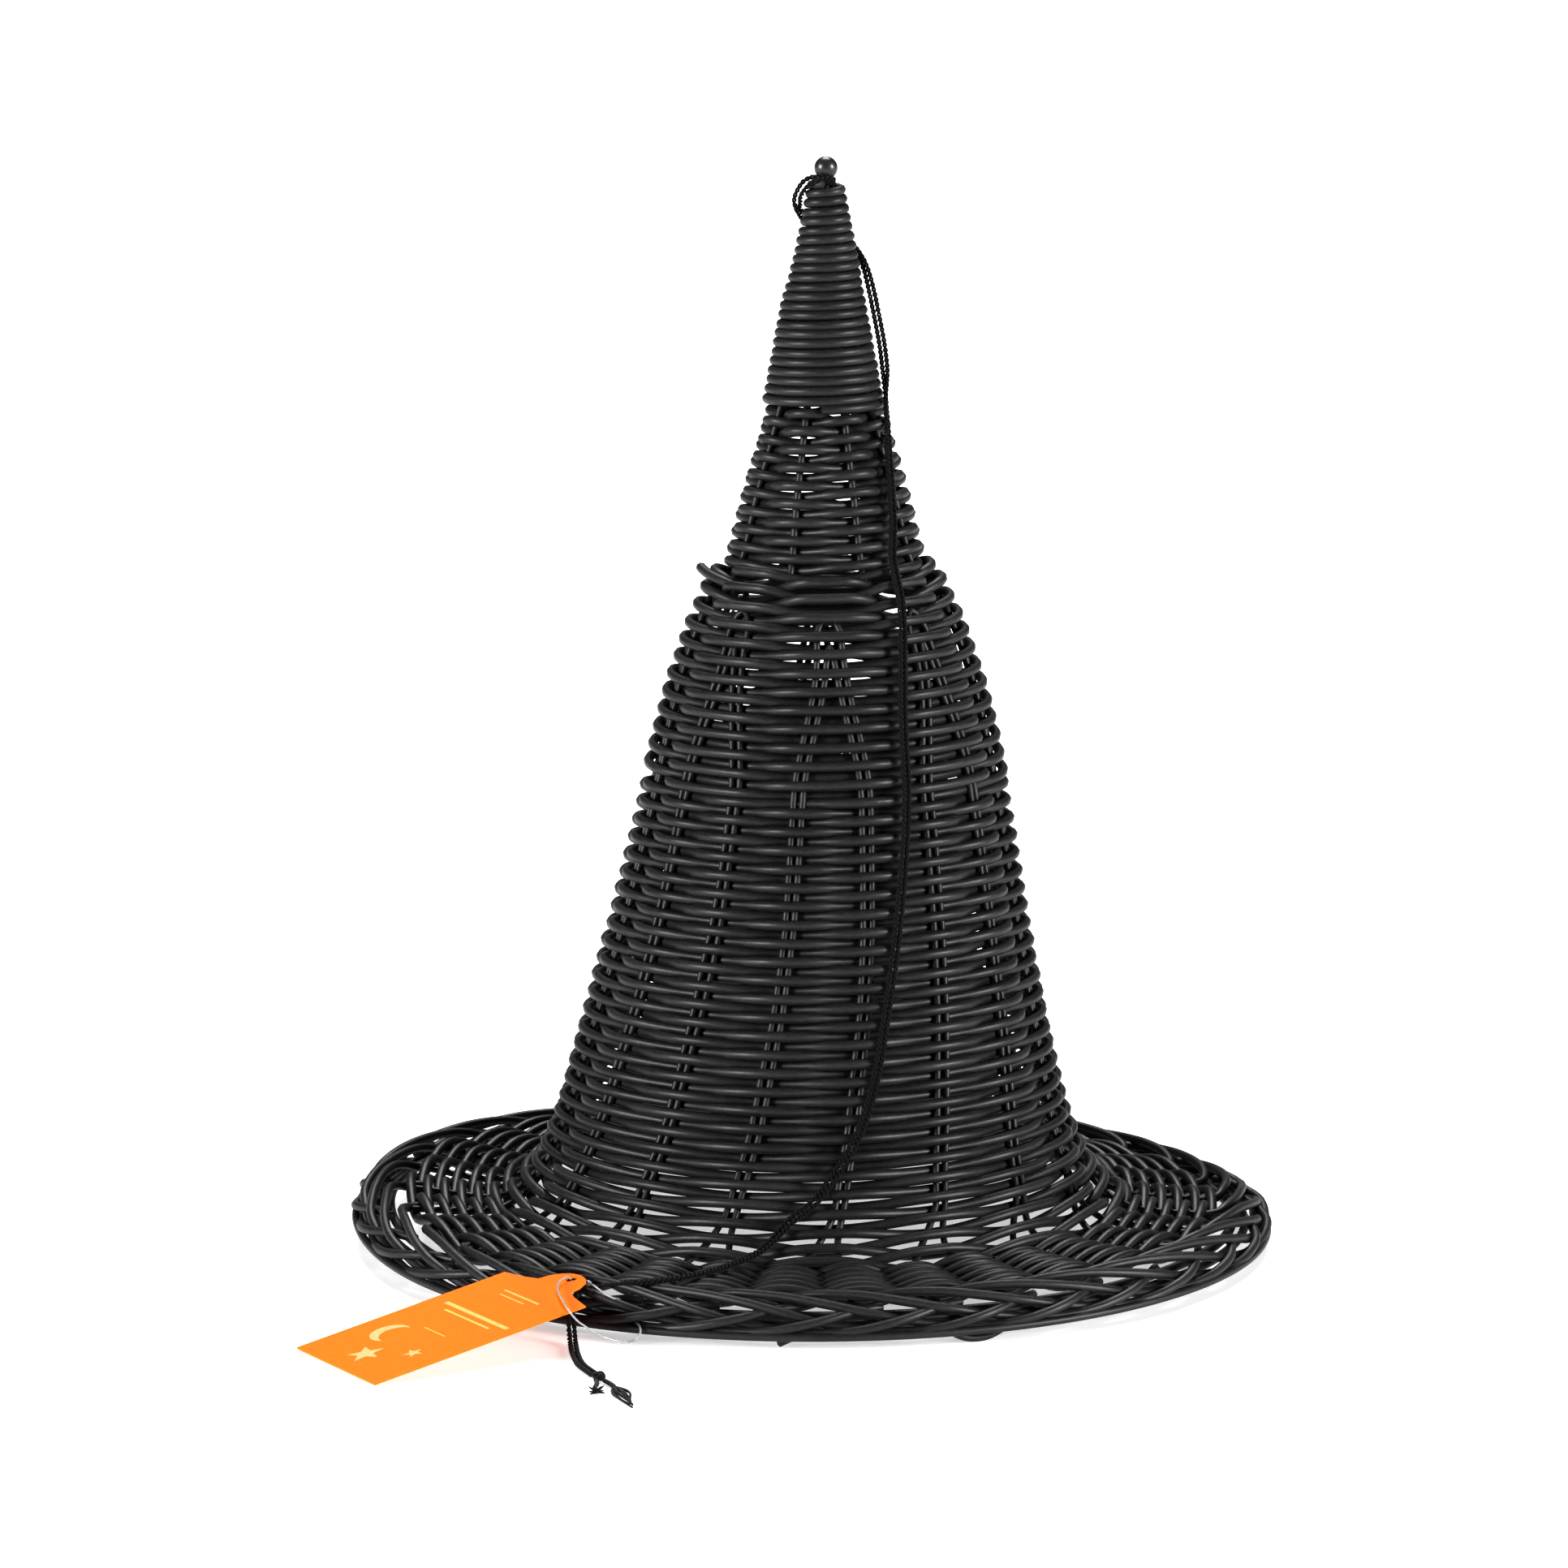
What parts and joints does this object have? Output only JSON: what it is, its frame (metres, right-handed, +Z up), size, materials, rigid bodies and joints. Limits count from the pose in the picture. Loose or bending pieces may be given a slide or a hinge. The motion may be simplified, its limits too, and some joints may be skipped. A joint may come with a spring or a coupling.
{
  "type": "witch hat",
  "caption": "Tall pointed witch hat woven from black cane, with a flat round brim, a plaited border, a hanging cord and a swing tag.",
  "frame": {"origin": "centre of the brim's outer circle, on the surface that the hat stands on", "axes": "+Z up through the tip, -Y to the front, +X to the right as seen from the front"},
  "size_m": [0.3375, 0.4012, 0.3866],
  "materials": {
    "black_cane": "black-stained willow and cane, matte to satin, with a fine grain along each strand",
    "bead": "small black bead, semi-gloss",
    "black_cord": "thin twisted black cord, soft and fuzzy",
    "tag_card": "orange card, satin, printed on one side with a plain crescent, stars and rules",
    "clear_filament": "clear flexible plastic filament, glossy"
  },
  "bodies": {
    "hat": {"finial_bead": "bead", "finial_peg": "black_cane", "tip_wrap": "black_cane", "main_stake_1": "black_cane", "main_stake_2": "black_cane", "main_stake_3": "black_cane", "main_stake_4": "black_cane", "main_stake_5": "black_cane", "main_stake_6": "black_cane", "main_stake_7": "black_cane", "main_stake_8": "black_cane", "outer_hairpin_1": "black_cane", "outer_hairpin_2": "black_cane", "outer_hairpin_3": "black_cane", "outer_hairpin_4": "black_cane", "outer_hairpin_5": "black_cane", "outer_hairpin_6": "black_cane", "outer_hairpin_7": "black_cane", "outer_hairpin_8": "black_cane", "inner_hairpin_1": "black_cane", "inner_hairpin_2": "black_cane", "inner_hairpin_3": "black_cane", "inner_hairpin_4": "black_cane", "inner_hairpin_5": "black_cane", "inner_hairpin_6": "black_cane", "inner_hairpin_7": "black_cane", "inner_hairpin_8": "black_cane", "upper_weave_outer": "black_cane", "upper_weave_inner": "black_cane", "shoulder_weave": "black_cane", "bundle_weave_outer": "black_cane", "crown_weave_outer": "black_cane", "crown_weave_inner": "black_cane", "flare_weave_outer": "black_cane", "flare_weave_inner": "black_cane", "brim_weave_top": "black_cane", "brim_weave_under": "black_cane", "border_fans": "black_cane", "border_plait": "black_cane", "rim_hoop": "black_cane", "rest_loop_1": "black_cane", "rest_end_2": "black_cane", "rest_loop_3": "black_cane", "rest_end_4": "black_cane", "rest_loop_5": "black_cane", "rest_end_6": "black_cane", "cord_strand_1": "black_cord", "cord_strand_2": "black_cord", "cord_hitch": "black_cord", "cord_knot": "black_cord", "frayed_end_1": "black_cord", "frayed_end_2": "black_cord", "tag_loop": "clear_filament"},
    "tag": {"tag_card": "tag_card"}
  },
  "joints": [
    {"name": "tag_lift", "type": "hinge", "parent": "hat", "child": "tag", "pos_m": [-0.08127, -0.13651, 0.01796], "axis": [-0.532, 0.8467, 0], "range_deg": [0, 70], "deforming": ["tag_loop"]}
  ]
}
